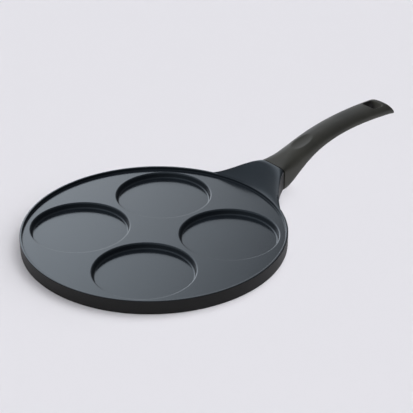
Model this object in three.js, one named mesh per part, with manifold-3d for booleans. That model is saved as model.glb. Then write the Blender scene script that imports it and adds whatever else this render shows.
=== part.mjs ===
// Four-well pancake pan: a die-cast aluminium pan, a steel induction plate and a screwed-on handle.
// Millimetres, +Z up. The origin is the centre of the base on the hob, and the handle points along +X.
import * as THREE from "three";
import { mergeVertices } from "three/addons/utils/BufferGeometryUtils.js";
import Module from "manifold-3d";

// Pan
const panRadius = 130;
const panHeight = 14.4; // hob to the top of the rim
const rimDepth = 3.2; // top of the rim to the flat deck between the wells
const rimWidth = 2.4;
const rimRound = 1;
const deckFillet = 0.8; // rim to deck
const footFillet = 0.8; // outer wall to base

// Wells
const wellCount = 4;
const wellBridge = 5.6; // deck left between two wells
const wellToWall = 8; // deck left between a well and the outside of the pan
const wellDepth = 6;
const wellEdgeRound = 1.1;
const wellDraft = 0.4; // lean of the wall over its height
const wellFillet = 1.6; // wall to floor

// Induction plate
const plateRadius = 88;
const plateThickness = 0.8;
const plateStandProud = 0.4; // below the cast base
const plateClearance = 0.3;
const plateHoleRadius = 2.2;
const plateHoleRings = 4;
const plateHolesInFirstRing = 6; // each ring outwards has as many more
const plateEdgeMargin = 16; // last ring of holes to the edge

// Neck, from the rim to the seam with the handle
const neckLength = 25.5; // rim to seam
const neckHalfAngle = THREE.MathUtils.degToRad(27); // the flare's reach round the rim
const neckEmbed = 0.8; // how deep its root starts inside the rim
const neckRootDrop = 1.2; // top of the rim to the top of the root
const neckRootBottom = 6;
const neckTopPull = [2, 22]; // rise above the root at the inner control heights
const neckBottomPull = [0.5, 1];
const neckRootSquareness = 9;
const seamTop = 31;
const seamBottom = 7.1;
const seamHalfWidth = 17.7;
const seamSquareness = 6.5;
const seamGap = 1;
const seamEdge = 0.5; // edge break on both sides of the seam

// Handle, placed from the seam
const gripLength = 166.5;
const gripTopPull = [[26.6, 9.1], [55.6, 30.3]]; // along and up from the seam's top
const gripTopEnd = 26.9;
const gripBottomPull = [[37.4, -2.2], [26.4, 45]]; // along and up from the seam's bottom
const gripBottomEnd = 37.5;
const gripWaist = [15.6, 12.7]; // control half widths between seam and tail
const tailHalfWidth = 16;
const tailRoll = 8.6; // length over which the top rolls down to the tail's edge
const tailEdge = 1.7; // thickness left at the end
const tailCornerRound = 1.8; // seen from above
const tailUnderRound = 2;
const gripSquareness = 2.4;
const squarenessFade = 0.1; // share of the handle over which the seam's squareness dies away

// Thumb scoop and hang hole
const scoopFromSeam = 41.5;
const scoopLength = 29;
const scoopWidth = 12;
const scoopLip = 1; // how far its hollow dips below the long edges
const scoopBulge = 4; // half height of the ellipsoid pressed in, in scoop depths
const hangHoleFromTail = 19.2; // to its middle
const hangHoleLength = 15.5; // along the handle
const hangHoleWidth = 18;
const hangHoleCorner = 4;
const hangHoleRound = 1; // edge break above and below

// Tang and its screw
const tangRise = THREE.MathUtils.degToRad(26); // slope of the tang, so the screw's head sits sunk below
const tangLength = 30;
const tangWidth = 20;
const tangThickness = 10;
const tangRound = 2;
const tangRoot = 8; // length buried in the neck
const socketClearance = 0.3;
const screwRadius = 2.5;
const screwTipDepth = 2; // tip of the screw below the tang's top
const screwHeadRadius = 4.6;
const screwHeadHeight = 3.2;
const screwHeadRound = 1.4;
const screwRecessLength = 4.8;
const screwRecessWidth = 1.1;
const screwRecessDepth = 1.7;
const screwClearance = 0.3;
const screwLedge = 2.5; // handle wall between the socket and the washers
const flatWasherRadius = 5;
const flatWasherThickness = 1;
const springWasherThickness = 1.3;
const springWasherSplit = 1.2;
const springWasherSlant = Math.PI / 4;
const counterboreClearance = 0.8;
const stackGap = 0.3; // between the screw's head, the washers and their seat

// Facets
const panSegments = 96;
const wellSegments = 64;
const smallSegments = 20;
const holeSegments = 8;
const arcDivisions = 1; // half the steps of a quarter round
const hangHoleDivisions = 2; // half the steps of each corner of the hole
const scoopSegments = 36;
const ringPoints = 40;
const neckStations = 10;
const gripStations = 28;
const tailStations = 6;
const roundSteps = 3;
const railTolerance = 1e-6;
const beyond = 30; // how far a cutter runs past the surface it opens

// Sizes that follow
const deckHeight = panHeight - rimDepth;
const wellSpread = Math.sin(Math.PI / wellCount); // half the way between two wells over their pitch radius
const wellRadius = (panRadius - wellToWall - wellBridge / 2 / wellSpread) / (1 + 1 / wellSpread);
const wellPitchRadius = panRadius - wellToWall - wellRadius; // pan axis to well axis
const neckRootTop = panHeight - neckRootDrop;
const tangHeight = (seamTop + seamBottom) / 2; // tang axis above the hob at the seam
const seamX = panRadius + neckLength;
const gripStartX = seamX + seamGap;
const tailX = seamX + gripLength;
const castBase = plateStandProud;
const washerSeat = -(tangThickness / 2 + socketClearance + screwLedge);
const flatWasherTop = washerSeat - stackGap;
const springWasherTop = flatWasherTop - flatWasherThickness - stackGap;
const headSeat = springWasherTop - springWasherThickness - stackGap;
const screwTip = tangThickness / 2 - screwTipDepth;
const screwFromSeam = tangLength / 2; // along the tang

const wasm = await Module();
wasm.setup();

// Solids and the geometry they are made from
function solidOf(geometry) {
  const bare = geometry.clone();
  bare.deleteAttribute("normal");
  bare.deleteAttribute("uv");
  const merged = mergeVertices(bare);
  const corners = merged.index.array;
  const triangles = [];
  for (let i = 0; i < corners.length; i += 3) {
    const [a, b, c] = corners.subarray(i, i + 3);
    const flat = a === b || b === c || c === a;
    if (!flat) {
      triangles.push(a, b, c);
    }
  }
  return new wasm.Manifold(
    new wasm.Mesh({
      numProp: 3,
      vertProperties: Float32Array.from(merged.attributes.position.array),
      triVerts: Uint32Array.from(triangles),
    }),
  );
}

function geometryOf(solid) {
  const mesh = solid.getMesh();
  const geometry = new THREE.BufferGeometry();
  geometry.setAttribute("position", new THREE.BufferAttribute(mesh.vertProperties, 3));
  geometry.setIndex(new THREE.BufferAttribute(mesh.triVerts, 1));
  geometry.computeVertexNormals();
  return geometry;
}

function part(name, solid, material) {
  const mesh = new THREE.Mesh(geometryOf(solid), material);
  mesh.name = name;
  return mesh;
}

// A profile of radius and height, turned about the Z axis
function turned(profile, segments) {
  return new THREE.LatheGeometry(profile.getPoints(arcDivisions), segments).rotateX(Math.PI / 2);
}

function turnedRing(innerRadius, outerRadius, bottom, top, segments) {
  const profile = new THREE.Path();
  profile.moveTo(innerRadius, bottom);
  profile.lineTo(outerRadius, bottom);
  profile.lineTo(outerRadius, top);
  profile.lineTo(innerRadius, top);
  profile.lineTo(innerRadius, bottom);
  return turned(profile, segments);
}

function roundBar(radius, bottom, top, segments) {
  const profile = new THREE.Path();
  profile.moveTo(0, bottom);
  profile.lineTo(radius, bottom);
  profile.lineTo(radius, top);
  profile.lineTo(0, top);
  return turned(profile, segments);
}

// A skin over rings with equal point counts, closed by a fan at each end
function loft(rings) {
  const count = rings[0].length;
  const points = rings.flat();
  const triangles = [];
  for (let i = 0; i < rings.length - 1; i += 1) {
    for (let j = 0; j < count; j += 1) {
      const here = i * count;
      const next = (j + 1) % count;
      triangles.push(here + j, here + next, here + count + next);
      triangles.push(here + j, here + count + next, here + count + j);
    }
  }
  for (const [ring, start, turn] of [[rings[0], 0, -1], [rings.at(-1), points.length - count, 1]]) {
    const centre = points.length;
    const sum = ring.reduce((total, point) => total.add(point), new THREE.Vector3());
    points.push(sum.divideScalar(count));
    for (let j = 0; j < count; j += 1) {
      const pair = [start + j, start + ((j + 1) % count)];
      triangles.push(centre, ...(turn > 0 ? pair : pair.reverse()));
    }
  }
  const geometry = new THREE.BufferGeometry().setFromPoints(points);
  geometry.setIndex(triangles);
  return geometry;
}

// A squared oval between a top and a bottom point of the XZ plane.
// Bow shifts its sides along X, as the rim's curve does at the neck's root.
function ovalRing(top, bottom, halfWidth, squareness, bow = 0) {
  const middle = top.clone().add(bottom).multiplyScalar(0.5);
  const half = top.clone().sub(bottom).multiplyScalar(0.5);
  const squared = (value) => Math.sign(value) * Math.abs(value) ** (2 / squareness);
  return Array.from({ length: ringPoints }, (_, i) => {
    const angle = (i / ringPoints) * 2 * Math.PI;
    const across = squared(Math.cos(angle));
    const upward = squared(Math.sin(angle));
    return new THREE.Vector3(
      middle.x + half.x * upward + bow * across ** 2,
      halfWidth * across,
      middle.y + half.y * upward,
    );
  });
}

// The same ring drawn in by an edge round and moved along
function insetRing(section, inset, advance) {
  const half = section.top.clone().sub(section.bottom);
  const upward = half.clone().normalize();
  const forward = new THREE.Vector2(upward.y, -upward.x).multiplyScalar(advance);
  return ovalRing(
    section.top.clone().addScaledVector(upward, -inset).add(forward),
    section.bottom.clone().addScaledVector(upward, inset).add(forward),
    section.halfWidth - inset,
    section.squareness,
  );
}

const cubic = (a, b, c, d, t) =>
  new THREE.CubicBezierCurve(
    new THREE.Vector2(0, a),
    new THREE.Vector2(0, b),
    new THREE.Vector2(0, c),
    new THREE.Vector2(0, d),
  ).getPoint(t).y;

// Pan: revolved plate with its rim, before the wells are sunk
function panPlate() {
  const recessRadius = plateRadius + plateClearance;
  const profile = new THREE.Path();
  profile.moveTo(0, plateThickness);
  profile.lineTo(recessRadius, plateThickness);
  profile.lineTo(recessRadius, castBase);
  profile.lineTo(panRadius - footFillet, castBase);
  profile.absarc(panRadius - footFillet, castBase + footFillet, footFillet, -Math.PI / 2, 0);
  profile.lineTo(panRadius, panHeight - rimRound);
  profile.absarc(panRadius - rimRound, panHeight - rimRound, rimRound, 0, Math.PI / 2);
  profile.absarc(panRadius - rimWidth + rimRound, panHeight - rimRound, rimRound, Math.PI / 2, Math.PI);
  profile.lineTo(panRadius - rimWidth, deckHeight + deckFillet);
  profile.absarc(
    panRadius - rimWidth - deckFillet, deckHeight + deckFillet, deckFillet, 0, -Math.PI / 2, true,
  );
  profile.lineTo(0, deckHeight);
  return solidOf(turned(profile, panSegments));
}

function wellCutter(index) {
  const wallTop = wellRadius - wellEdgeRound;
  const floorHeight = deckHeight - wellDepth;
  const floorRadius = wallTop - wellDraft - wellFillet;
  const profile = new THREE.Path();
  profile.moveTo(0, floorHeight);
  profile.lineTo(floorRadius, floorHeight);
  profile.absarc(floorRadius, floorHeight + wellFillet, wellFillet, -Math.PI / 2, 0);
  profile.lineTo(wallTop, deckHeight - wellEdgeRound);
  profile.absarc(wellRadius, deckHeight - wellEdgeRound, wellEdgeRound, Math.PI, Math.PI / 2, true);
  profile.lineTo(wellRadius, panHeight + beyond);
  profile.lineTo(0, panHeight + beyond);
  const angle = ((index + 0.5) / wellCount) * 2 * Math.PI;
  const place = new THREE.Matrix4().makeRotationZ(angle);
  place.multiply(new THREE.Matrix4().makeTranslation(wellPitchRadius, 0, 0));
  return solidOf(turned(profile, wellSegments).applyMatrix4(place));
}

// Neck: bowed sections that leave the rim along its curve and narrow to the flat seam
function neck() {
  const rootRadius = panRadius - neckEmbed;
  const toSeam = new THREE.Vector2(
    seamX - rootRadius * Math.cos(neckHalfAngle),
    seamHalfWidth - rootRadius * Math.sin(neckHalfAngle),
  );
  const outward = new THREE.Vector2(Math.cos(neckHalfAngle), Math.sin(neckHalfAngle));
  const flareRadius = toSeam.lengthSq() / (2 * toSeam.dot(outward)); // touches the rim, meets the seam
  const centre = outward.clone().multiplyScalar(rootRadius + flareRadius);
  const startAngle = neckHalfAngle - Math.PI;
  const endAngle = Math.atan2(seamHalfWidth - centre.y, seamX - centre.x);
  const rings = [];
  for (let i = 0; i <= neckStations; i += 1) {
    const t = i / neckStations;
    const angle = THREE.MathUtils.lerp(startAngle, endAngle, t);
    const axisX = THREE.MathUtils.lerp(rootRadius, seamX - seamEdge, t);
    const edgeX = Math.min(centre.x + flareRadius * Math.cos(angle), seamX - seamEdge);
    const topZ = cubic(neckRootTop, neckRootTop + neckTopPull[0], neckRootTop + neckTopPull[1], seamTop, t);
    const bottomZ = cubic(
      neckRootBottom, neckRootBottom + neckBottomPull[0], neckRootBottom + neckBottomPull[1], seamBottom, t,
    );
    rings.push(
      ovalRing(
        new THREE.Vector2(axisX, topZ),
        new THREE.Vector2(axisX, bottomZ),
        centre.y + flareRadius * Math.sin(angle),
        THREE.MathUtils.lerp(neckRootSquareness, seamSquareness, t),
        edgeX - axisX,
      ),
    );
  }
  const last = {
    top: new THREE.Vector2(seamX - seamEdge, seamTop),
    bottom: new THREE.Vector2(seamX - seamEdge, seamBottom),
    halfWidth: seamHalfWidth,
    squareness: seamSquareness,
  };
  rings.push(insetRing(last, seamEdge, seamEdge));
  const insideRim = roundBar(panRadius - rimWidth / 2, -beyond, beyond, panSegments);
  return solidOf(loft(rings)).subtract(solidOf(insideRim));
}

// Frame of the tang and its screw: X along the tang from the seam, Z up the screw
const fixing = new THREE.Group();
fixing.position.set(seamX, 0, tangHeight);
fixing.rotation.y = -tangRise;
fixing.updateMatrix();

function tangBar(grow, from, to) {
  const width = tangWidth + 2 * grow;
  const thickness = tangThickness + 2 * grow;
  const round = tangRound + grow;
  const section = new THREE.Shape();
  section.moveTo(-width / 2 + round, -thickness / 2);
  section.absarc(width / 2 - round, -thickness / 2 + round, round, -Math.PI / 2, 0);
  section.absarc(width / 2 - round, thickness / 2 - round, round, 0, Math.PI / 2);
  section.absarc(-width / 2 + round, thickness / 2 - round, round, Math.PI / 2, Math.PI);
  section.absarc(-width / 2 + round, -thickness / 2 + round, round, Math.PI, 1.5 * Math.PI);
  const bar = new THREE.ExtrudeGeometry(section, {
    depth: to - from,
    bevelEnabled: false,
    curveSegments: 2 * arcDivisions,
  });
  const acrossY = new THREE.Vector3(0, 1, 0);
  const acrossZ = new THREE.Vector3(0, 0, 1);
  const along = new THREE.Vector3(1, 0, 0);
  bar.applyMatrix4(new THREE.Matrix4().makeBasis(acrossY, acrossZ, along));
  return solidOf(bar.translate(from, 0, 0).applyMatrix4(fixing.matrix));
}

function fixingBore(radius, bottom, top) {
  const bore = roundBar(radius, bottom, top, smallSegments).translate(screwFromSeam, 0, 0);
  return solidOf(bore.applyMatrix4(fixing.matrix));
}

function panBody() {
  let body = panPlate();
  for (let i = 0; i < wellCount; i += 1) {
    body = body.subtract(wellCutter(i));
  }
  const tang = tangBar(0, -tangRoot, tangLength);
  const tapped = fixingBore(screwRadius + screwClearance, -tangThickness, tangThickness);
  return body.add(neck()).add(tang.subtract(tapped));
}

// Induction plate: thin disc with rings of holes
function basePlate() {
  let plate = solidOf(roundBar(plateRadius, 0, plateThickness, panSegments));
  const pitch = (plateRadius - plateEdgeMargin) / plateHoleRings;
  for (let ring = 1; ring <= plateHoleRings; ring += 1) {
    const count = plateHolesInFirstRing * ring;
    for (let i = 0; i < count; i += 1) {
      const angle = (i / count) * 2 * Math.PI;
      const hole = roundBar(plateHoleRadius, -beyond, beyond, holeSegments);
      hole.translate(pitch * ring * Math.cos(angle), pitch * ring * Math.sin(angle), 0);
      plate = plate.subtract(solidOf(hole));
    }
  }
  return plate;
}

// Handle: sections between a top and a bottom rail, square at the seam and oval along the grip
function railOf(startHeight, pull, endHeight) {
  const at = ([along, up]) => new THREE.Vector2(gripStartX + along, startHeight + up);
  return new THREE.CubicBezierCurve(
    at([seamEdge, 0]), at(pull[0]), at(pull[1]), at([tailX - tailRoll - gripStartX, endHeight]),
  );
}

const topRail = railOf(seamTop, gripTopPull, gripTopEnd);
const bottomRail = railOf(seamBottom, gripBottomPull, gripBottomEnd);

function gripSection(t) {
  return {
    top: topRail.getPoint(t),
    bottom: bottomRail.getPoint(t),
    halfWidth: cubic(seamHalfWidth, gripWaist[0], gripWaist[1], tailHalfWidth, t),
    squareness: gripSquareness + (seamSquareness - gripSquareness) * Math.exp(-t / squarenessFade),
  };
}

function gripBlank() {
  const rings = [insetRing(gripSection(0), seamEdge, -seamEdge)];
  for (let i = 0; i <= gripStations; i += 1) {
    rings.push(insetRing(gripSection(i / gripStations), 0, 0));
  }
  for (let i = 1; i <= tailStations; i += 1) {
    rings.push(tailRing((i / tailStations) * (Math.PI / 2)));
  }
  return solidOf(loft(rings));
}

// The tail's top rolls down in a quarter ellipse, and its corners round off in plan and below
function tailRing(angle) {
  const { top, bottom, halfWidth, squareness } = gripSection(1);
  const advance = tailRoll * Math.sin(angle);
  const roundIn = (radius) => {
    const past = Math.max(0, advance - tailRoll + radius);
    return radius - Math.sqrt(radius ** 2 - past ** 2);
  };
  const drop = (top.y - bottom.y - tailUnderRound - tailEdge) * (1 - Math.cos(angle));
  return ovalRing(
    new THREE.Vector2(top.x + advance, top.y - drop),
    new THREE.Vector2(bottom.x + advance, bottom.y + roundIn(tailUnderRound)),
    halfWidth - roundIn(tailCornerRound),
    squareness,
  );
}

// Where a rail passes a given X, by halving
function railAt(rail, x) {
  let low = 0;
  let high = 1;
  while (high - low > railTolerance) {
    const middle = (low + high) / 2;
    if (rail.getPoint(middle).x < x) {
      low = middle;
    } else {
      high = middle;
    }
  }
  return low;
}

function thumbScoop() {
  const t = railAt(topRail, seamX + scoopFromSeam);
  const { top, bottom, halfWidth, squareness } = gripSection(t);
  const level = (1 - (scoopWidth / 2 / halfWidth) ** squareness) ** (1 / squareness);
  const fall = (top.distanceTo(bottom) / 2) * (1 - level); // of the rounded top at the long edges
  const depth = fall + scoopLip;
  const bulge = scoopBulge * depth;
  const share = (cut) => Math.sqrt(1 - (1 - cut / bulge) ** 2); // of its half width at a depth of cut
  const scoop = new THREE.SphereGeometry(1, scoopSegments, scoopSegments / 2).rotateX(Math.PI / 2);
  scoop.scale(scoopLength / 2 / share(depth), scoopWidth / 2 / share(scoopLip), bulge);
  const slope = topRail.getTangent(t).angle();
  scoop.translate(0, 0, bulge - depth).rotateY(-slope).translate(top.x, 0, top.y);
  return solidOf(scoop);
}

function hangHole() {
  const x = tailX - hangHoleFromTail;
  const top = topRail.getPoint(railAt(topRail, x)).y;
  const bottom = bottomRail.getPoint(railAt(bottomRail, x)).y;
  const ringAt = (height, grow) => {
    const radius = hangHoleCorner + grow;
    const reach = hangHoleLength / 2 - hangHoleCorner;
    const side = hangHoleWidth / 2 - hangHoleCorner;
    const outline = new THREE.Path();
    outline.absarc(x + reach, -side, radius, -Math.PI / 2, 0);
    outline.absarc(x + reach, side, radius, 0, Math.PI / 2);
    outline.absarc(x - reach, side, radius, Math.PI / 2, Math.PI);
    outline.absarc(x - reach, -side, radius, Math.PI, 1.5 * Math.PI);
    const corners = outline.getPoints(hangHoleDivisions);
    return corners.map((corner) => new THREE.Vector3(corner.x, corner.y, height));
  };
  const flare = Array.from({ length: roundSteps + 1 }, (_, i) => {
    const angle = (i / roundSteps) * (Math.PI / 2);
    return { drop: hangHoleRound * (1 - Math.sin(angle)), grow: hangHoleRound * (1 - Math.cos(angle)) };
  });
  const lower = flare.map(({ drop, grow }) => ringAt(bottom + drop, grow)).reverse();
  const upper = flare.map(({ drop, grow }) => ringAt(top - drop, grow));
  const belowAll = ringAt(bottom - beyond, hangHoleRound);
  const aboveAll = ringAt(top + beyond, hangHoleRound);
  return solidOf(loft([belowAll, ...lower, ...upper, aboveAll]));
}

function handleGrip() {
  const socket = tangBar(socketClearance, -beyond, tangLength + socketClearance);
  const screwHole = fixingBore(screwRadius + screwClearance, -beyond, 0);
  const counterbore = fixingBore(flatWasherRadius + counterboreClearance, -beyond, washerSeat);
  return gripBlank()
    .subtract(socket)
    .subtract(screwHole)
    .subtract(counterbore)
    .subtract(thumbScoop())
    .subtract(hangHole());
}

// Screw and washers, in the frame of the tang
function handleScrew() {
  const headBottom = headSeat - screwHeadHeight;
  const profile = new THREE.Path();
  profile.moveTo(0, headBottom);
  profile.lineTo(screwHeadRadius - screwHeadRound, headBottom);
  profile.absarc(
    screwHeadRadius - screwHeadRound, headBottom + screwHeadRound, screwHeadRound, -Math.PI / 2, 0,
  );
  profile.lineTo(screwHeadRadius, headSeat);
  profile.lineTo(screwRadius, headSeat);
  profile.lineTo(screwRadius, screwTip);
  profile.lineTo(0, screwTip);
  let screw = solidOf(turned(profile, smallSegments));
  for (const [length, width] of [
    [screwRecessLength, screwRecessWidth],
    [screwRecessWidth, screwRecessLength],
  ]) {
    const slot = new THREE.BoxGeometry(length, width, 2 * screwRecessDepth);
    screw = screw.subtract(solidOf(slot.translate(0, 0, headBottom)));
  }
  return screw;
}

function washer(radius, bottom, top) {
  return solidOf(turnedRing(screwRadius + screwClearance, radius, bottom, top, smallSegments));
}

function springWasher() {
  const bottom = springWasherTop - springWasherThickness;
  const ring = washer(screwHeadRadius, bottom, springWasherTop);
  const split = new THREE.BoxGeometry(2 * screwHeadRadius, springWasherSplit, beyond);
  split.rotateX(springWasherSlant).translate(screwHeadRadius, 0, (bottom + springWasherTop) / 2);
  return ring.subtract(solidOf(split));
}

// Finishes
const nonStickCoat = new THREE.MeshStandardMaterial({ color: "#25292f", roughness: 0.35, metalness: 0.1 });
const stainless = new THREE.MeshStandardMaterial({ color: "#b9bbbd", roughness: 0.35, metalness: 1 });
const phenolic = new THREE.MeshStandardMaterial({ color: "#2f2f2d", roughness: 0.6, metalness: 0 });
const zincSteel = new THREE.MeshStandardMaterial({ color: "#a9acae", roughness: 0.3, metalness: 1 });

// Assembly
const pan = new THREE.Group();
pan.add(part("pan_body", panBody(), nonStickCoat));
pan.add(part("base_plate", basePlate(), stainless));
pan.add(part("handle_grip", handleGrip(), phenolic));

const fastener = new THREE.Group();
fastener.position.x = screwFromSeam;
fastener.add(part("handle_screw", handleScrew(), zincSteel));
fastener.add(part("spring_washer", springWasher(), zincSteel));
const flatWasher = washer(flatWasherRadius, flatWasherTop - flatWasherThickness, flatWasherTop);
fastener.add(part("flat_washer", flatWasher, zincSteel));
fixing.add(fastener);
pan.add(fixing);

export default pan;
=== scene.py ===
import math
import bmesh
import bpy
from mathutils import Matrix, Quaternion, Vector


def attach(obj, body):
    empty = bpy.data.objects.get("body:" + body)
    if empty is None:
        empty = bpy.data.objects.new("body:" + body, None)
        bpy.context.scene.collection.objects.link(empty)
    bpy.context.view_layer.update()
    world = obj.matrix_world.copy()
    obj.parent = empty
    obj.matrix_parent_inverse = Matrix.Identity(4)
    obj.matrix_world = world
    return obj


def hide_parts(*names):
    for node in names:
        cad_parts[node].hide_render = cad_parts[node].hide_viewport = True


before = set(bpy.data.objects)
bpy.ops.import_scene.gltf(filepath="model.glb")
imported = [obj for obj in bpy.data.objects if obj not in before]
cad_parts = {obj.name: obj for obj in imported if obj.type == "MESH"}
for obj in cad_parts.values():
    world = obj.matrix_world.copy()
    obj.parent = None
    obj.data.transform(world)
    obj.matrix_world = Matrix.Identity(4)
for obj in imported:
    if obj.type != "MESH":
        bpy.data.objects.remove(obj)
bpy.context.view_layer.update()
mm = 0.001  # sizes below are millimetres unless they say otherwise
weldGap = 0.0005  # points closer than this become one
sliver = 0.001  # edges shorter than this are cleaned away
scene = bpy.context.scene
print("frame loaded:", sorted(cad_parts))


# Shaders

def linear(hexColour):  # sRGB hex to the linear values a shader takes
    parts = [int(hexColour[i:i + 2], 16) / 255 for i in (1, 3, 5)]
    return [p / 12.92 if p <= 0.04045 else ((p + 0.055) / 1.055) ** 2.4 for p in parts] + [1]


def addNode(tree, kind, inputs, **settings):  # an input is a value or another node's output
    node = tree.nodes.new(kind)
    for name, value in settings.items():
        setattr(node, name, value)
    for name, value in inputs.items():
        if isinstance(value, bpy.types.NodeSocket):
            tree.links.new(value, node.inputs[name])
        else:
            node.inputs[name].default_value = value
    return node


def startMaterial(name):
    material = bpy.data.materials.new(name)
    material.use_nodes = True
    material.node_tree.nodes.clear()
    return material, material.node_tree


def perMm(size):  # texture scale for features of this many millimetres
    return 1 / (size * mm)


def makeNonStickCoat():  # sprayed and baked PTFE: blue-black, satin, faintly orange-peeled
    coat = dict(colours=("#0d1014", "#14181d"), stops=(0.12, 0.42), tint="#e4f5ff", ior=1.6, smooth=0.14, rough=0.2,
                fleck=1.1, cloud=38, peel=1.6, peelStrength=0.25, peelDepth=0.02)
    material, tree = startMaterial("bakedNonStickCoat")
    place = addNode(tree, "ShaderNodeTexCoord", {}).outputs["Object"]
    fleck = addNode(tree, "ShaderNodeTexNoise", {"Vector": place, "Scale": perMm(coat["fleck"]), "Detail": 2})
    cloud = addNode(tree, "ShaderNodeTexNoise", {"Vector": place, "Scale": perMm(coat["cloud"]), "Detail": 3})
    peel = addNode(tree, "ShaderNodeTexNoise", {"Vector": place, "Scale": perMm(coat["peel"]), "Detail": 1})
    mixed = addNode(tree, "ShaderNodeMath", {0: fleck.outputs["Fac"], 1: cloud.outputs["Fac"]}, operation="MULTIPLY")
    colour = addNode(tree, "ShaderNodeValToRGB", {"Fac": mixed.outputs[0]})
    for element, stop, shade in zip(colour.color_ramp.elements, coat["stops"], coat["colours"]):
        element.position = stop
        element.color = linear(shade)
    rough = addNode(tree, "ShaderNodeMapRange", {
        "Value": cloud.outputs["Fac"], "To Min": coat["smooth"], "To Max": coat["rough"]})
    bump = addNode(tree, "ShaderNodeBump", {
        "Height": peel.outputs["Fac"], "Strength": coat["peelStrength"], "Distance": coat["peelDepth"] * mm})
    shader = addNode(tree, "ShaderNodeBsdfPrincipled", {
        "Base Color": colour.outputs["Color"], "Roughness": rough.outputs["Result"],
        "Normal": bump.outputs["Normal"], "IOR": coat["ior"], "Specular Tint": linear(coat["tint"])})
    addNode(tree, "ShaderNodeOutputMaterial", {"Surface": shader.outputs["BSDF"]})
    return material


def makeOuterLacquer():  # baked silicone lacquer: warm black, matt, slightly pebbled
    lacquer = dict(colours=("#0c0c0c", "#131312"), stops=(0.35, 0.65), ior=1.48, specular=0.25, smooth=0.44,
                   rough=0.56, pebble=0.7, pebbleStrength=0.3, pebbleDepth=0.04)
    material, tree = startMaterial("mattSiliconeLacquer")
    place = addNode(tree, "ShaderNodeTexCoord", {}).outputs["Object"]
    pebble = addNode(tree, "ShaderNodeTexNoise", {"Vector": place, "Scale": perMm(lacquer["pebble"]), "Detail": 3})
    colour = addNode(tree, "ShaderNodeValToRGB", {"Fac": pebble.outputs["Fac"]})
    for element, stop, shade in zip(colour.color_ramp.elements, lacquer["stops"], lacquer["colours"]):
        element.position = stop
        element.color = linear(shade)
    rough = addNode(tree, "ShaderNodeMapRange", {
        "Value": pebble.outputs["Fac"], "To Min": lacquer["smooth"], "To Max": lacquer["rough"]})
    bump = addNode(tree, "ShaderNodeBump", {
        "Height": pebble.outputs["Fac"], "Strength": lacquer["pebbleStrength"],
        "Distance": lacquer["pebbleDepth"] * mm})
    shader = addNode(tree, "ShaderNodeBsdfPrincipled", {
        "Base Color": colour.outputs["Color"], "Roughness": rough.outputs["Result"],
        "Normal": bump.outputs["Normal"], "IOR": lacquer["ior"], "Specular IOR Level": lacquer["specular"]})
    addNode(tree, "ShaderNodeOutputMaterial", {"Surface": shader.outputs["BSDF"]})
    return material


def makePhenolic():  # moulded phenolic with a soft-touch coat: warm near-black, fine matt grain
    plastic = dict(colours=("#1d1d1b", "#252522"), stops=(0.3, 0.7), ior=1.55, specular=0.3, smooth=0.44, rough=0.6,
                   grain=0.35, cloud=22, grainStrength=0.35, grainDepth=0.05)
    material, tree = startMaterial("softTouchPhenolic")
    place = addNode(tree, "ShaderNodeTexCoord", {}).outputs["Object"]
    grain = addNode(tree, "ShaderNodeTexNoise", {"Vector": place, "Scale": perMm(plastic["grain"]), "Detail": 2})
    cloud = addNode(tree, "ShaderNodeTexNoise", {"Vector": place, "Scale": perMm(plastic["cloud"]), "Detail": 3})
    colour = addNode(tree, "ShaderNodeValToRGB", {"Fac": cloud.outputs["Fac"]})
    for element, stop, shade in zip(colour.color_ramp.elements, plastic["stops"], plastic["colours"]):
        element.position = stop
        element.color = linear(shade)
    rough = addNode(tree, "ShaderNodeMapRange", {
        "Value": grain.outputs["Fac"], "To Min": plastic["smooth"], "To Max": plastic["rough"]})
    bump = addNode(tree, "ShaderNodeBump", {
        "Height": grain.outputs["Fac"], "Strength": plastic["grainStrength"], "Distance": plastic["grainDepth"] * mm})
    shader = addNode(tree, "ShaderNodeBsdfPrincipled", {
        "Base Color": colour.outputs["Color"], "Roughness": rough.outputs["Result"],
        "Normal": bump.outputs["Normal"], "IOR": plastic["ior"], "Specular IOR Level": plastic["specular"]})
    addNode(tree, "ShaderNodeOutputMaterial", {"Surface": shader.outputs["BSDF"]})
    return material


def makeTurnedSteel():  # stainless disc, faced on a lathe: bright, with fine rings round the centre
    steel = dict(colours=("#a2a4a6", "#b9babb"), stops=(0, 1), smooth=0.22, rough=0.38, stain=30,
                 ring=0.9, ringDistortion=0.6, ringStrength=0.4, ringDepth=0.03)  # rings coarser than real, to show
    waveTurn = 20  # radians that the wave node turns per unit
    material, tree = startMaterial("turnedStainless")
    place = addNode(tree, "ShaderNodeTexCoord", {}).outputs["Object"]
    rings = addNode(tree, "ShaderNodeTexWave", {
        "Vector": place, "Scale": perMm(steel["ring"]) * 2 * math.pi / waveTurn, "Distortion": steel["ringDistortion"],
        "Detail": 2}, wave_type="RINGS", rings_direction="Z")
    stain = addNode(tree, "ShaderNodeTexNoise", {"Vector": place, "Scale": perMm(steel["stain"]), "Detail": 3})
    colour = addNode(tree, "ShaderNodeValToRGB", {"Fac": stain.outputs["Fac"]})
    for element, stop, shade in zip(colour.color_ramp.elements, steel["stops"], steel["colours"]):
        element.position = stop
        element.color = linear(shade)
    rough = addNode(tree, "ShaderNodeMapRange", {
        "Value": rings.outputs["Fac"], "To Min": steel["smooth"], "To Max": steel["rough"]})
    bump = addNode(tree, "ShaderNodeBump", {
        "Height": rings.outputs["Fac"], "Strength": steel["ringStrength"], "Distance": steel["ringDepth"] * mm})
    shader = addNode(tree, "ShaderNodeBsdfPrincipled", {
        "Base Color": colour.outputs["Color"], "Metallic": 1, "Roughness": rough.outputs["Result"],
        "Normal": bump.outputs["Normal"]})
    addNode(tree, "ShaderNodeOutputMaterial", {"Surface": shader.outputs["BSDF"]})
    return material


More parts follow.
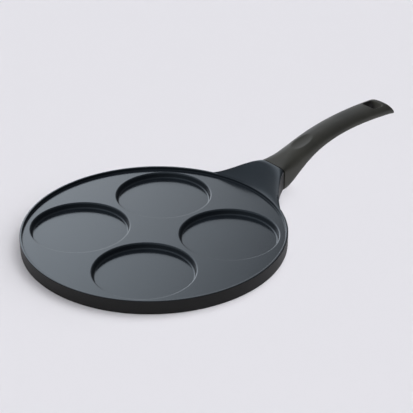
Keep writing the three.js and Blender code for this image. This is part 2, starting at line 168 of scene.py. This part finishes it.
def makeZincPlate():  # bright zinc-plated steel: cool grey with a faint mottled bloom
    zinc = dict(colours=("#9fa5ab", "#b3b1a8"), stops=(0.35, 0.65), smooth=0.23, rough=0.35, bloom=3)
    material, tree = startMaterial("zincPlatedSteel")
    place = addNode(tree, "ShaderNodeTexCoord", {}).outputs["Object"]
    bloom = addNode(tree, "ShaderNodeTexNoise", {"Vector": place, "Scale": perMm(zinc["bloom"]), "Detail": 3})
    colour = addNode(tree, "ShaderNodeValToRGB", {"Fac": bloom.outputs["Fac"]})
    for element, stop, shade in zip(colour.color_ramp.elements, zinc["stops"], zinc["colours"]):
        element.position = stop
        element.color = linear(shade)
    rough = addNode(tree, "ShaderNodeMapRange", {
        "Value": bloom.outputs["Fac"], "To Min": zinc["smooth"], "To Max": zinc["rough"]})
    shader = addNode(tree, "ShaderNodeBsdfPrincipled", {
        "Base Color": colour.outputs["Color"], "Metallic": 1, "Roughness": rough.outputs["Result"]})
    addNode(tree, "ShaderNodeOutputMaterial", {"Surface": shader.outputs["BSDF"]})
    return material


def makeFloorPaint():  # matt painted board: pale cool grey, no pattern to speak of
    paint = dict(colour="#e4e3e9", roughness=0.9, specular=0.1)
    material, tree = startMaterial("palePaintedBoard")
    shader = addNode(tree, "ShaderNodeBsdfPrincipled", {
        "Base Color": linear(paint["colour"]), "Roughness": paint["roughness"],
        "Specular IOR Level": paint["specular"]})
    addNode(tree, "ShaderNodeOutputMaterial", {"Surface": shader.outputs["BSDF"]})
    return material


nonStickCoat = makeNonStickCoat()
outerLacquer = makeOuterLacquer()
phenolic = makePhenolic()
turnedSteel = makeTurnedSteel()
zincPlate = makeZincPlate()
print("materials ready")


# Mesh helpers

def arc(centreX, centreY, radius, fromAngle, toAngle, steps):  # corner of a profile, degrees, both ends included
    turns = [math.radians(fromAngle + (toAngle - fromAngle) * i / steps) for i in range(steps + 1)]
    return [(centreX + radius * math.cos(turn), centreY + radius * math.sin(turn)) for turn in turns]


def weld(bm):
    bmesh.ops.remove_doubles(bm, verts=bm.verts, dist=weldGap * mm)


def boundaryEdges(bm):
    return [edge for edge in bm.edges if edge.is_boundary]


def onlyVerts(geometry):
    return [item for item in geometry if isinstance(item, bmesh.types.BMVert)]


def spinProfile(bm, profile, steps, centre=(0, 0, 0)):  # radius and height pairs, spun about an upright axis
    axis = Vector(centre) * mm
    verts = [bm.verts.new(axis + Vector((radius, 0, height)) * mm) for radius, height in profile]
    edges = [bm.edges.new(pair) for pair in zip(verts, verts[1:])]
    bmesh.ops.spin(bm, geom=verts + edges, cent=axis, axis=(0, 0, 1), angle=2 * math.pi, steps=steps, use_merge=True)


def loft(rings, points):  # each ring turns an angle into a place in millimetres
    bm = bmesh.new()
    turn = bm.verts.layers.float.new("turn")
    for i, vert in enumerate(bmesh.ops.create_circle(bm, segments=points, radius=1)["verts"]):
        vert[turn] = 2 * math.pi * i / points
        vert.co = rings[0](vert[turn]) * mm
    edges = bm.edges[:]
    for ring in rings[1:]:
        grown = bmesh.ops.extrude_edge_only(bm, edges=edges)["geom"]
        for vert in onlyVerts(grown):
            vert.co = ring(vert[turn]) * mm
        edges = [item for item in grown if isinstance(item, bmesh.types.BMEdge) and item.is_boundary]
    bmesh.ops.holes_fill(bm, edges=boundaryEdges(bm), sides=0)
    return bm


def makePiece(bm, name, *materials):
    weld(bm)
    bmesh.ops.recalc_face_normals(bm, faces=bm.faces)
    mesh = bpy.data.meshes.new(name)
    bm.to_mesh(mesh)
    bm.free()
    for material in materials:
        mesh.materials.append(material)
    piece = bpy.data.objects.new(name, mesh)
    scene.collection.objects.link(piece)
    return piece


def combine(piece, other, operation):  # joins or cuts, then removes the other
    step = piece.modifiers.new("combine", "BOOLEAN")
    step.object = other
    step.operation = operation
    step.solver = "EXACT"
    shaped = bpy.data.meshes.new_from_object(piece.evaluated_get(bpy.context.evaluated_depsgraph_get()))
    bm = bmesh.new()
    bm.from_mesh(shaped)
    bmesh.ops.dissolve_degenerate(bm, edges=bm.edges, dist=sliver * mm)
    manySided = [face for face in bm.faces if len(face.verts) > 4]
    bmesh.ops.triangulate(bm, faces=manySided, ngon_method="BEAUTY")
    bm.to_mesh(shaped)
    bm.free()
    piece.modifiers.clear()
    before = piece.data
    piece.data = shaped
    shaped.name = piece.name
    bpy.data.meshes.remove(before)
    bpy.data.meshes.remove(other.data)  # its object goes with it


def smoothShade(piece, sharpAngle):
    piece.data.shade_smooth()
    piece.data.set_sharp_from_angle(angle=math.radians(sharpAngle))
    even = piece.modifiers.new("evenNormals", "WEIGHTED_NORMAL")  # keeps flat faces flat beside rounds
    even.keep_sharp = True


def settle(piece, node):
    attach(piece, "root")
    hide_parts(node)
    print(piece.name, len(piece.data.polygons), "faces")


# Places shared by the casting and the grip

seam = dict(x=155.5, top=32.4, bottom=7.1, halfWidth=17.7, squareness=6.5, gap=1, edge=0.5, edgeSteps=4,
            bossInset=2, bossHeight=0.8)
tang = dict(height=19.05, rise=26, length=30, root=8, width=20, thickness=10, round=2, roundSteps=5,
            alongCosine=0.9, clearance=0.3, socketMouth=-30)
bore = dict(radius=2.8, threadReach=10, counterRadius=5.8, counterTop=-7.8, mouth=-30, steps=48)
tilt = Matrix.Rotation(math.radians(-tang["rise"]), 4, "Y")
fixing = Matrix.Translation(Vector((seam["x"], 0, tang["height"])) * mm) @ tilt
screwX = tang["length"] / 2


def squared(value, squareness):
    return math.copysign(abs(value) ** (2 / squareness), value)


def ovalPoint(top, bottom, halfWidth, squareness, turn, bow=0):  # squared oval between two points of the XZ plane
    across = squared(math.cos(turn), squareness)
    upward = squared(math.sin(turn), squareness)
    middle = (top + bottom) / 2 + (top - bottom) / 2 * upward
    return Vector((middle.x + bow * across ** 2, halfWidth * across, middle.y))


def evenTurn(turn, squareness, crowd):  # spreads places evenly along a squared oval, closer at its corners
    turn += crowd * math.sin(4 * turn)
    across = math.copysign(abs(math.cos(turn)) ** (squareness / 2), math.cos(turn))
    upward = math.copysign(abs(math.sin(turn)) ** (squareness / 2), math.sin(turn))
    return math.atan2(upward, across)


def cubic(a, b, c, d, t):
    return a * (1 - t) ** 3 + b * 3 * t * (1 - t) ** 2 + c * 3 * t ** 2 * (1 - t) + d * t ** 3


def tangBar(grow, start, end):
    bm = bmesh.new()
    bmesh.ops.create_cube(bm, size=1)
    size = Vector((end - start, tang["width"] + 2 * grow, tang["thickness"] + 2 * grow))
    bmesh.ops.scale(bm, vec=size * mm, verts=bm.verts)
    along = [edge for edge in bm.edges
             if abs((edge.verts[0].co - edge.verts[1].co).normalized().x) > tang["alongCosine"]]
    bmesh.ops.bevel(bm, geom=along, offset=(tang["round"] + grow) * mm, affect="EDGES",
                    segments=tang["roundSteps"], profile=0.5, material=-1)
    bmesh.ops.translate(bm, vec=Vector(((start + end) / 2, 0, 0)) * mm, verts=bm.verts)
    bmesh.ops.transform(bm, matrix=fixing, verts=bm.verts)
    return bm


def fixingBore(radius, bottom, top):
    bm = bmesh.new()
    bmesh.ops.create_cone(bm, cap_ends=True, segments=bore["steps"], radius1=radius * mm, radius2=radius * mm,
                          depth=(top - bottom) * mm)
    bmesh.ops.translate(bm, vec=Vector((screwX, 0, (top + bottom) / 2)) * mm, verts=bm.verts)
    bmesh.ops.transform(bm, matrix=fixing, verts=bm.verts)
    return bm


# Cast pan: spun rim, four spun wells, a lofted neck and the tang

pan = dict(radius=130, height=14.4, deck=11.2, deckSlack=0.01, rimWidth=2.4, rimRound=0.7, deckFillet=0.4,
           footFillet=0.8, base=0.4, recessRadius=88.3, recessTop=0.8, edge=0.2, hold=0.4, steps=256, roundSteps=7,
           edgeSteps=3, lacquerLip=0.25, lacquerBelow=3, sharpAngle=35)
well = dict(count=4, radius=49.4, pitch=73.106, depth=6, edgeRound=1.6, draft=0.4, fillet=1.6, steps=160,
            roundSteps=7, filletSteps=8)
neck = dict(halfAngle=27, embed=0.8, rootTop=13.2, rootBottom=6, topPull=(2, 18.7), bottomPull=(0.5, 1),
            squareness=30, buriedTop=10.5, buriedBottom=6.5, buriedRadii=(126, 128.5), crowd=0.15, stations=64,
            points=192, coatSlope=0.3)


def rimProfile():
    outer = pan["radius"]
    inner = outer - pan["rimWidth"]
    lip = pan["height"] - pan["rimRound"]
    foot = pan["base"] + pan["footFillet"]
    deckStart = inner - pan["deckFillet"]
    recess = pan["recessRadius"]
    steps = pan["roundSteps"]
    profile = [(deckStart - pan["hold"], pan["deck"])]
    profile += arc(deckStart, pan["deck"] + pan["deckFillet"], pan["deckFillet"], -90, 0, steps)
    profile += arc(inner + pan["rimRound"], lip, pan["rimRound"], 180, 90, steps)
    profile += arc(outer - pan["rimRound"], lip, pan["rimRound"], 90, 0, steps)
    profile += [(outer, lip - pan["hold"]), (outer, foot + pan["hold"])]
    profile += arc(outer - pan["footFillet"], foot, pan["footFillet"], 0, -90, steps)
    profile += [(outer - pan["footFillet"] - pan["hold"], pan["base"]), (recess + 2 * pan["edge"], pan["base"])]
    profile += arc(recess + pan["edge"], pan["base"] + pan["edge"], pan["edge"], -90, -180, pan["edgeSteps"])
    profile += [(recess, pan["recessTop"]), (recess - pan["hold"], pan["recessTop"])]
    return profile


def wellProfile():
    wall = well["radius"] - well["edgeRound"]
    floor = pan["deck"] - well["depth"]
    floorRadius = wall - well["draft"] - well["fillet"]
    profile = [(well["radius"] + pan["hold"], pan["deck"])]
    profile += arc(well["radius"], pan["deck"] - well["edgeRound"], well["edgeRound"], 90, 180, well["roundSteps"])
    profile += arc(floorRadius, floor + well["fillet"], well["fillet"], 0, -90, well["filletSteps"])
    profile += [(floorRadius - pan["hold"], floor)]
    return profile


def panPlate():
    bm = bmesh.new()
    spinProfile(bm, rimProfile(), pan["steps"])
    for i in range(well["count"]):
        angle = (i + 0.5) / well["count"] * 2 * math.pi
        centre = (well["pitch"] * math.cos(angle), well["pitch"] * math.sin(angle), 0)
        spinProfile(bm, wellProfile(), well["steps"], centre)
    weld(bm)
    openEdges = boundaryEdges(bm)
    deckEdges = [edge for edge in openEdges
                 if abs(edge.verts[0].co.z - pan["deck"] * mm) < pan["deckSlack"] * mm]
    bmesh.ops.triangle_fill(bm, edges=deckEdges, use_beauty=True)
    bmesh.ops.holes_fill(bm, edges=[edge for edge in openEdges if edge not in set(deckEdges)], sides=0)
    bm.normal_update()
    for face in bm.faces:  # lacquer from the lip outward and under the base, coat elsewhere
        middle = face.calc_center_median()
        beyondLip = middle.xy.length > (pan["radius"] - pan["lacquerLip"] * pan["rimRound"]) * mm
        face.material_index = 1 if beyondLip or middle.z < pan["lacquerBelow"] * mm else 0
    return bm


def neckSection(axisX, edgeX, halfWidth, top, bottom, squareness):
    def place(turn):
        spread = evenTurn(turn, squareness, neck["crowd"])
        return ovalPoint(Vector((axisX, top)), Vector((axisX, bottom)), halfWidth, squareness, spread, edgeX - axisX)
    return place


def seamSection(x, inset):
    return neckSection(x, x, seam["halfWidth"] - inset, seam["top"] - inset, seam["bottom"] + inset,
                       seam["squareness"])


def neckRail(start, pull, end, t):
    return cubic(start, start + pull[0], start + pull[1], end, t)


def neckRings():
    root = pan["radius"] - neck["embed"]
    half = math.radians(neck["halfAngle"])
    outward = Vector((math.cos(half), math.sin(half)))
    toSeam = Vector((seam["x"], seam["halfWidth"])) - outward * root
    flare = toSeam.length_squared / (2 * toSeam.dot(outward))  # touches the rim and meets the seam
    centre = outward * (root + flare)
    startAngle = half - math.pi
    endAngle = math.atan2(seam["halfWidth"] - centre.y, seam["x"] - centre.x)
    end = seam["x"] - seam["edge"]
    rings = [neckSection(buried, buried * outward.x, buried * outward.y, neck["buriedTop"], neck["buriedBottom"],
                         neck["squareness"]) for buried in neck["buriedRadii"]]
    for i in range(neck["stations"] + 1):
        t = i / neck["stations"]
        angle = startAngle + (endAngle - startAngle) * t
        top = neckRail(neck["rootTop"], neck["topPull"], seam["top"], t)
        bottom = neckRail(neck["rootBottom"], neck["bottomPull"], seam["bottom"], t)
        edgeX = min(centre.x + flare * math.cos(angle), end)
        halfWidth = centre.y + flare * math.sin(angle)
        squareness = neck["squareness"] + (seam["squareness"] - neck["squareness"]) * t
        rings.append(neckSection(root + (end - root) * t, edgeX, halfWidth, top, bottom, squareness))
    for x, y in arc(0, 0, seam["edge"], 0, 90, seam["edgeSteps"])[1:]:
        rings.append(seamSection(end + y, seam["edge"] - x))
    for face in (seam["x"], seam["x"] + seam["bossHeight"]):  # a low boss closes the view through the seam
        rings.append(seamSection(face, seam["bossInset"]))
    return rings


def castNeck():  # the inside coat covers its top only
    bm = loft(neckRings(), neck["points"])
    bmesh.ops.recalc_face_normals(bm, faces=bm.faces)
    for face in bm.faces:
        face.material_index = 0 if face.normal.z > neck["coatSlope"] else 1
    return bm


def makeCasting(bm, name):
    return makePiece(bm, name, nonStickCoat, outerLacquer)


castPan = makeCasting(panPlate(), "castPan")
neckPiece = makeCasting(castNeck(), "neck")
combine(neckPiece, makeCasting(tangBar(0, -tang["root"], tang["length"]), "tang"), "UNION")
threadHole = fixingBore(bore["radius"], -bore["threadReach"], bore["threadReach"])
combine(neckPiece, makeCasting(threadHole, "thread"), "DIFFERENCE")
combine(castPan, neckPiece, "UNION")
smoothShade(castPan, pan["sharpAngle"])
settle(castPan, "pan_body")


# Induction disc: perforated steel, pressed into the base

disc = dict(radius=88, thickness=0.8, holeRadius=2.2, rings=4, firstRing=6, margin=16, edge=0.15, edgeSteps=3,
            edgeTurn=1, lowest=0.1, steps=192, holeSteps=24, sharpAngle=40)  # the turn at an edge is in radians


def inductionDisc():
    bm = bmesh.new()
    bmesh.ops.create_circle(bm, segments=disc["steps"], radius=disc["radius"] * mm)
    pitch = (disc["radius"] - disc["margin"]) / disc["rings"]
    for ring in range(1, disc["rings"] + 1):
        count = disc["firstRing"] * ring
        for i in range(count):
            angle = i / count * 2 * math.pi
            place = Matrix.Translation(Vector((math.cos(angle), math.sin(angle), 0)) * pitch * ring * mm)
            bmesh.ops.create_circle(bm, segments=disc["holeSteps"], radius=disc["holeRadius"] * mm, matrix=place)
    bmesh.ops.triangle_fill(bm, edges=bm.edges[:], use_beauty=True)
    grown = bmesh.ops.extrude_face_region(bm, geom=bm.faces[:])["geom"]
    bmesh.ops.translate(bm, vec=(0, 0, disc["thickness"] * mm), verts=onlyVerts(grown))
    bmesh.ops.recalc_face_normals(bm, faces=bm.faces)
    bm.normal_update()
    lower = [edge for edge in bm.edges if edge.calc_face_angle(0) > disc["edgeTurn"]
             and max(vert.co.z for vert in edge.verts) < disc["lowest"] * mm]
    bmesh.ops.bevel(bm, geom=lower, offset=disc["edge"] * mm, affect="EDGES", segments=disc["edgeSteps"],
                    profile=0.5, material=-1)
    return bm


steelDisc = makePiece(inductionDisc(), "inductionDisc", turnedSteel)
smoothShade(steelDisc, disc["sharpAngle"])
settle(steelDisc, "base_plate")


# Grip: lofted between two rails, with thumb scoop, hang hole, tang socket and screw counterbore

grip = dict(length=166.5, topPull=((26.6, 7.7), (55.6, 28.9)), topEnd=25.5, bottomPull=((37.4, -2.2), (26.4, 45)),
            bottomEnd=37.5, waist=(15.6, 12.7), tailHalfWidth=16, tailRoll=8.6, tailEdge=1.7, tailCorner=1.8,
            tailUnder=2, squareness=2.4, fade=0.1, stations=200, tailStations=20, points=128, halvings=40,
            sharpAngle=40)
scoop = dict(fromSeam=40.5, length=31, width=15, lip=0.6, bulge=4, soften=0.3, slopeStep=0.01, depthsDown=2)
hangHole = dict(fromTail=19.2, length=15.5, width=18, corner=4, round=1, cornerSteps=8, steps=6, overshoot=20)
gripStart = seam["x"] + seam["gap"]
tailX = seam["x"] + grip["length"]


def railPoint(startHeight, pull, endHeight, t):
    along = (seam["edge"], pull[0][0], pull[1][0], tailX - grip["tailRoll"] - gripStart)
    up = (0, pull[0][1], pull[1][1], endHeight)
    return Vector((gripStart + cubic(*along, t), startHeight + cubic(*up, t)))


def gripSection(t):  # top, bottom, half width, squareness
    top = railPoint(seam["top"], grip["topPull"], grip["topEnd"], t)
    bottom = railPoint(seam["bottom"], grip["bottomPull"], grip["bottomEnd"], t)
    halfWidth = cubic(seam["halfWidth"], *grip["waist"], grip["tailHalfWidth"], t)
    squareness = grip["squareness"] + (seam["squareness"] - grip["squareness"]) * math.exp(-t / grip["fade"])
    return top, bottom, halfWidth, squareness


def sectionAt(x, rail):  # how far along the grip a rail passes this x
    low, high = 0, 1
    for _ in range(grip["halvings"]):
        middle = (low + high) / 2
        low, high = (middle, high) if gripSection(middle)[rail].x < x else (low, middle)
    return low


def surfaceHeight(x, y, rail):  # height of the grip's top (rail 0) or underside (rail 1)
    top, bottom, halfWidth, squareness = gripSection(sectionAt(x, rail))
    level = (1 - min(1, abs(y) / halfWidth) ** squareness) ** (1 / squareness)
    return (top.y + bottom.y) / 2 + (top.y - bottom.y) / 2 * (level if rail == 0 else -level)


scoopT = sectionAt(seam["x"] + scoop["fromSeam"], 0)
scoopTop, scoopBottom, scoopHalf, scoopSquare = gripSection(scoopT)
scoopLevel = (1 - (scoop["width"] / 2 / scoopHalf) ** scoopSquare) ** (1 / scoopSquare)
scoopFall = (scoopTop - scoopBottom).length / 2 * (1 - scoopLevel)
scoopDepth = scoopFall + scoop["lip"]
scoopBulge = scoop["bulge"] * scoopDepth
scoopAhead = gripSection(scoopT + scoop["slopeStep"])[0]
scoopBehind = gripSection(scoopT - scoop["slopeStep"])[0]
scoopAlong = (scoopAhead - scoopBehind).normalized()
scoopUp = Vector((-scoopAlong.y, scoopAlong.x))
scoopReach = scoop["length"] / 2 / math.sqrt(1 - (1 - scoopDepth / scoopBulge) ** 2)
scoopSpread = scoop["width"] / 2 / math.sqrt(1 - (1 - scoop["lip"] / scoopBulge) ** 2)


def pressScoop(point):  # presses the top in to an ellipsoid, with a soft edge
    offset = Vector((point.x, point.z)) - scoopTop
    along = offset.dot(scoopAlong)
    up = offset.dot(scoopUp)
    inside = 1 - (along / scoopReach) ** 2 - (point.y / scoopSpread) ** 2
    if inside <= 0 or up < -scoop["depthsDown"] * scoopDepth:
        return point
    hollow = scoopBulge - scoopDepth - scoopBulge * math.sqrt(inside)
    gap = max(scoop["soften"] - abs(up - hollow), 0) / scoop["soften"]
    pressed = min(up, hollow) - gap ** 2 * scoop["soften"] / 4
    shift = scoopUp * (pressed - up)
    return point + Vector((shift.x, 0, shift.y))


def bodySection(inset, advance, t):
    top, bottom, halfWidth, squareness = gripSection(t)
    upward = (top - bottom).normalized()
    forward = Vector((upward.y, -upward.x)) * advance
    high = top - upward * inset + forward
    low = bottom + upward * inset + forward
    return lambda turn: pressScoop(ovalPoint(high, low, halfWidth - inset, squareness, turn))


def tailSection(angle):
    top, bottom, halfWidth, squareness = gripSection(1)
    advance = grip["tailRoll"] * math.sin(angle)

    def roundIn(radius):
        past = max(0, advance - grip["tailRoll"] + radius)
        return radius - math.sqrt(max(0, radius ** 2 - past ** 2))

    drop = (top.y - bottom.y - grip["tailUnder"] - grip["tailEdge"]) * (1 - math.cos(angle))
    high = Vector((top.x + advance, top.y - drop))
    low = Vector((bottom.x + advance, bottom.y + roundIn(grip["tailUnder"])))
    return lambda turn: ovalPoint(high, low, halfWidth - roundIn(grip["tailCorner"]), squareness, turn)


def gripRings():
    edge = reversed(arc(0, 0, seam["edge"], 0, 90, seam["edgeSteps"])[1:])
    rings = [bodySection(seam["edge"] - x, -y, 0) for x, y in edge]
    rings += [bodySection(0, 0, i / grip["stations"]) for i in range(grip["stations"] + 1)]
    tailSteps = grip["tailStations"]
    rings += [tailSection(i / tailSteps * math.pi / 2) for i in range(1, tailSteps + 1)]
    return rings


def holeOutline():  # places round the hole about 1 mm apart, each with the way it faces out
    reach = hangHole["length"] / 2 - hangHole["corner"]
    side = hangHole["width"] / 2 - hangHole["corner"]
    corners = []
    for i, (along, across) in enumerate(((1, 1), (-1, 1), (-1, -1), (1, -1))):
        middle = Vector((along * reach, across * side))
        for out in arc(0, 0, 1, 90 * i, 90 * i + 90, hangHole["cornerSteps"]):
            corners.append((middle + Vector(out) * hangHole["corner"], Vector(out)))
    outline = []
    for (here, out), (there, _) in zip(corners, corners[1:] + corners[:1]):
        steps = max(1, round((there - here).length))
        outline += [(here.lerp(there, k / steps), out) for k in range(steps)]
    return outline


def holeRings(outline):  # flares out to the grip's own top and underside
    centre = tailX - hangHole["fromTail"]
    flare = hangHole["round"]

    def ring(rail, drop, grow, lift=0):
        def place(turn):
            spot, out = outline[round(turn / (2 * math.pi) * len(outline)) % len(outline)]
            x, y = spot + out * grow
            height = surfaceHeight(centre + x, y, rail)
            return Vector((centre + x, y, height + (lift - drop) * (1 if rail == 0 else -1)))
        return place

    lip = [(flare - y, flare - x) for x, y in arc(0, 0, flare, 0, 90, hangHole["steps"])]
    under = [ring(1, drop, grow) for drop, grow in reversed(lip)]
    over = [ring(0, drop, grow) for drop, grow in lip]
    below = ring(1, 0, flare, hangHole["overshoot"])
    above = ring(0, 0, flare, hangHole["overshoot"])
    return [below] + under + over + [above]


handle = makePiece(loft(gripRings(), grip["points"]), "grip", phenolic)
holePlan = holeOutline()
gripCutters = dict(
    holeCutter=loft(holeRings(holePlan), len(holePlan)),
    socketCutter=tangBar(tang["clearance"], tang["socketMouth"], tang["length"] + tang["clearance"]),
    boreCutter=fixingBore(bore["radius"], bore["mouth"], 0),
    counterboreCutter=fixingBore(bore["counterRadius"], bore["mouth"], bore["counterTop"]))
for name, cutter in gripCutters.items():
    combine(handle, makePiece(cutter, name, phenolic), "DIFFERENCE")
smoothShade(handle, grip["sharpAngle"])
settle(handle, "handle_grip")


# Screw and its washers, under the grip

screw = dict(radius=2.5, tip=3, tipTaper=0.5, poleRadius=0.3, headSeat=-11.0, headRadius=4.6, headHeight=3.2,
             headRound=1.4, headSteps=6, plainShank=2, pitch=0.8, threadDepth=0.25, slotLength=4.8, slotWidth=1.1,
             slotDepth=1.7, slotTaper=0.7, slotTurn=30, steps=48, sharpAngle=35)
spring = dict(radius=4.6, bore=2.8, top=-9.4, thickness=1.3, split=14, edge=0.12, edgeSteps=3, steps=64, sharpAngle=35)
flat = dict(radius=5, bore=2.8, top=-8.1, thickness=1, split=0, edge=0.12, edgeSteps=3, steps=64, sharpAngle=35)


def panHeadScrew():
    bm = bmesh.new()
    bottom = screw["headSeat"] - screw["headHeight"]
    headFlat = screw["headRadius"] - screw["headRound"]
    profile = [(screw["poleRadius"], bottom)]
    profile += arc(headFlat, bottom + screw["headRound"], screw["headRound"], -90, 0, screw["headSteps"])
    profile += [(screw["headRadius"], screw["headSeat"]), (screw["radius"], screw["headSeat"])]
    height = screw["headSeat"] + screw["plainShank"]
    while height + screw["pitch"] < screw["tip"] - screw["tipTaper"]:
        groove = (screw["radius"] - screw["threadDepth"], height + screw["pitch"] / 2)
        profile += [(screw["radius"], height), groove]
        height += screw["pitch"]
    profile += [(screw["radius"], height), (screw["radius"] - screw["tipTaper"], screw["tip"]),
                (screw["poleRadius"], screw["tip"])]
    spinProfile(bm, profile, screw["steps"])
    weld(bm)
    bmesh.ops.holes_fill(bm, edges=boundaryEdges(bm), sides=0)
    return bm


def driveSlot(turn):  # one arm of the cross recess, tapered as the driver is
    bm = bmesh.new()
    bmesh.ops.create_cube(bm, size=1)
    size = Vector((screw["slotLength"], screw["slotWidth"], 2 * screw["slotDepth"]))
    bmesh.ops.scale(bm, vec=size * mm, verts=bm.verts)
    deepEnd = [vert for vert in bm.verts if vert.co.z > 0]
    bmesh.ops.scale(bm, vec=(screw["slotTaper"], screw["slotTaper"], 1), verts=deepEnd)
    bmesh.ops.rotate(bm, cent=(0, 0, 0), matrix=Matrix.Rotation(math.radians(turn), 3, "Z"), verts=bm.verts)
    bmesh.ops.translate(bm, vec=(0, 0, (screw["headSeat"] - screw["headHeight"]) * mm), verts=bm.verts)
    return bm


def washer(size):  # a split washer stops short of a full turn by its split, in degrees
    bm = bmesh.new()
    edge = size["edge"]
    outer = size["radius"] - edge
    inner = size["bore"] + edge
    low = size["top"] - size["thickness"] + edge
    high = size["top"] - edge
    profile = []
    for radius, height, angle in ((outer, low, -90), (outer, high, 0), (inner, high, 90), (inner, low, 180)):
        profile += arc(radius, height, edge, angle, angle + 90, size["edgeSteps"])
    verts = [bm.verts.new(Vector((radius, 0, height)) * mm) for radius, height in profile]
    section = bm.faces.new(verts)
    spin = dict(cent=(0, 0, 0), axis=(0, 0, 1), steps=size["steps"])
    if size["split"]:
        bmesh.ops.spin(bm, geom=[section], angle=math.radians(360 - size["split"]), **spin)
    else:
        outline = section.edges[:] + section.verts[:]
        bmesh.ops.spin(bm, geom=outline, angle=2 * math.pi, use_merge=True, **spin)
        bmesh.ops.delete(bm, geom=[section], context="FACES_ONLY")
    return bm


def seatOnTang(bm):
    bmesh.ops.translate(bm, vec=(screwX * mm, 0, 0), verts=bm.verts)
    bmesh.ops.transform(bm, matrix=fixing, verts=bm.verts)
    return bm


gripScrew = makePiece(seatOnTang(panHeadScrew()), "gripScrew", zincPlate)
for turn in (screw["slotTurn"], screw["slotTurn"] + 90):
    combine(gripScrew, makePiece(seatOnTang(driveSlot(turn)), "slotCutter", zincPlate), "DIFFERENCE")
smoothShade(gripScrew, screw["sharpAngle"])
settle(gripScrew, "handle_screw")

springWasher = makePiece(seatOnTang(washer(spring)), "springWasher", zincPlate)
smoothShade(springWasher, spring["sharpAngle"])
settle(springWasher, "spring_washer")

flatWasher = makePiece(seatOnTang(washer(flat)), "flatWasher", zincPlate)
smoothShade(flatWasher, flat["sharpAngle"])
settle(flatWasher, "flat_washer")


# Floor, light and camera

studio = dict(floor=8, baseRight=0.12, baseLeft=0.48, baseReach=0.6, leftward=(-0.767, 0.642, 0), panel=3.1,
              panelTo=(0.165, 0.937, 0.309), panelEdge=0.815, panelCore=0.975, doorShut=-0.25, doorOpen=0.45,
              panelTint="#f4f8ff")  # the floor's half width is in metres
lamps = [
    dict(name="floorKey", comes=(0.767, -0.642, 0.6), strength=1.75, spread=70, lights="floor"),  # shadow to the left
    dict(name="floorTop", comes=(0.97, 0.24, 2.2), strength=1.25, spread=50, lights="floor"),  # shadow at the pan
    dict(name="floorFill", comes=(0, 0, 1), strength=1.1, spread=10, lights="floor", shadow=False),
    dict(name="panKey", comes=(-0.767, 0.642, 1.2), strength=2.8, spread=50, lights="pan"),
    dict(name="gripKey", comes=(-0.6, 0.65, 0.4), strength=7.7, spread=40, lights="grip"),
    dict(name="gripFill", comes=(0, 0.45, 0.9), strength=2.2, spread=60, lights="grip"),
    dict(name="gripBounce", comes=(0.05, -1, -0.07), strength=5.4, spread=16, lights="grip"),
    dict(name="panFill", comes=(0, 0, 1), strength=2.7, spread=160, lights="pan")]
view = dict(place=(-604.4, -802.1, 596.4), forward=(0.5602, 0.6702, -0.4868), roll=0.1, lens=104.03)


def aim(direction):
    return Vector(direction).to_track_quat("-Z", "Y")


floorMesh = bmesh.new()
bmesh.ops.create_grid(floorMesh, x_segments=2, y_segments=2, size=studio["floor"])
floor = makePiece(floorMesh, "floor", makeFloorPaint())

scene.world = bpy.data.worlds.new("studioRoom")  # darker to the right, with one wide soft panel at the back left
scene.world.use_nodes = True
scene.world.cycles_visibility.diffuse = False  # seen in reflections only, the lamps do the lighting
room = scene.world.node_tree
room.nodes.clear()
outward = addNode(room, "ShaderNodeTexCoord", {}).outputs["Object"]
sideways = addNode(room, "ShaderNodeVectorMath", {0: outward, 1: studio["leftward"]}, operation="DOT_PRODUCT")
base = addNode(room, "ShaderNodeMapRange", {
    "Value": sideways.outputs["Value"], "From Min": -studio["baseReach"], "From Max": studio["baseReach"],
    "To Min": studio["baseRight"], "To Max": studio["baseLeft"]}).outputs["Result"]
rightward = addNode(room, "ShaderNodeSeparateXYZ", {"Vector": outward}).outputs["X"]
door = addNode(room, "ShaderNodeMapRange", {  # shades the panel's left side
    "Value": rightward, "From Min": studio["doorShut"], "From Max": studio["doorOpen"],
    "To Min": base, "To Max": studio["panel"]}).outputs["Result"]
facing = addNode(room, "ShaderNodeVectorMath", {0: outward, 1: studio["panelTo"]}, operation="DOT_PRODUCT")
glow = addNode(room, "ShaderNodeMapRange", {
    "Value": facing.outputs["Value"], "From Min": studio["panelEdge"], "From Max": studio["panelCore"],
    "To Min": base, "To Max": door}).outputs["Result"]
backdrop = addNode(room, "ShaderNodeBackground", {"Color": linear(studio["panelTint"]), "Strength": glow})
addNode(room, "ShaderNodeOutputWorld", {"Surface": backdrop.outputs["Background"]})

reached = dict(floor=[floor], pan=[castPan, steelDisc], grip=[handle, gripScrew, springWasher, flatWasher])
lit = {}  # what a lamp reaches
for name, members in reached.items():
    lit[name] = bpy.data.collections.new(name + "Lit")
    for member in members:
        lit[name].objects.link(member)
lit["pieces"] = bpy.data.collections.new("piecesLit")
for name in ("pan", "grip"):
    lit["pieces"].children.link(lit[name])
for lamp in lamps:
    light = bpy.data.objects.new(lamp["name"], bpy.data.lights.new(lamp["name"], "SUN"))
    light.data.energy = lamp["strength"]
    light.data.angle = math.radians(lamp["spread"])
    light.data.use_shadow = lamp.get("shadow", True)
    light.rotation_mode = "QUATERNION"
    light.rotation_quaternion = aim(-Vector(lamp["comes"]))
    light.visible_glossy = False
    light.light_linking.receiver_collection = lit[lamp["lights"]]
    casters = "pan" if lamp["lights"] == "floor" else "pieces"  # the handle's shadow is flagged off the floor
    light.light_linking.blocker_collection = lit[casters]
    scene.collection.objects.link(light)

camera = bpy.data.objects.new("camera", bpy.data.cameras.new("camera"))
camera.data.lens = view["lens"]
camera.location = Vector(view["place"]) * mm
camera.rotation_mode = "QUATERNION"
camera.rotation_quaternion = aim(view["forward"]) @ Quaternion((0, 0, 1), math.radians(view["roll"]))
scene.collection.objects.link(camera)
scene.camera = camera
scene.view_settings.view_transform = "Standard"
print("studio ready")
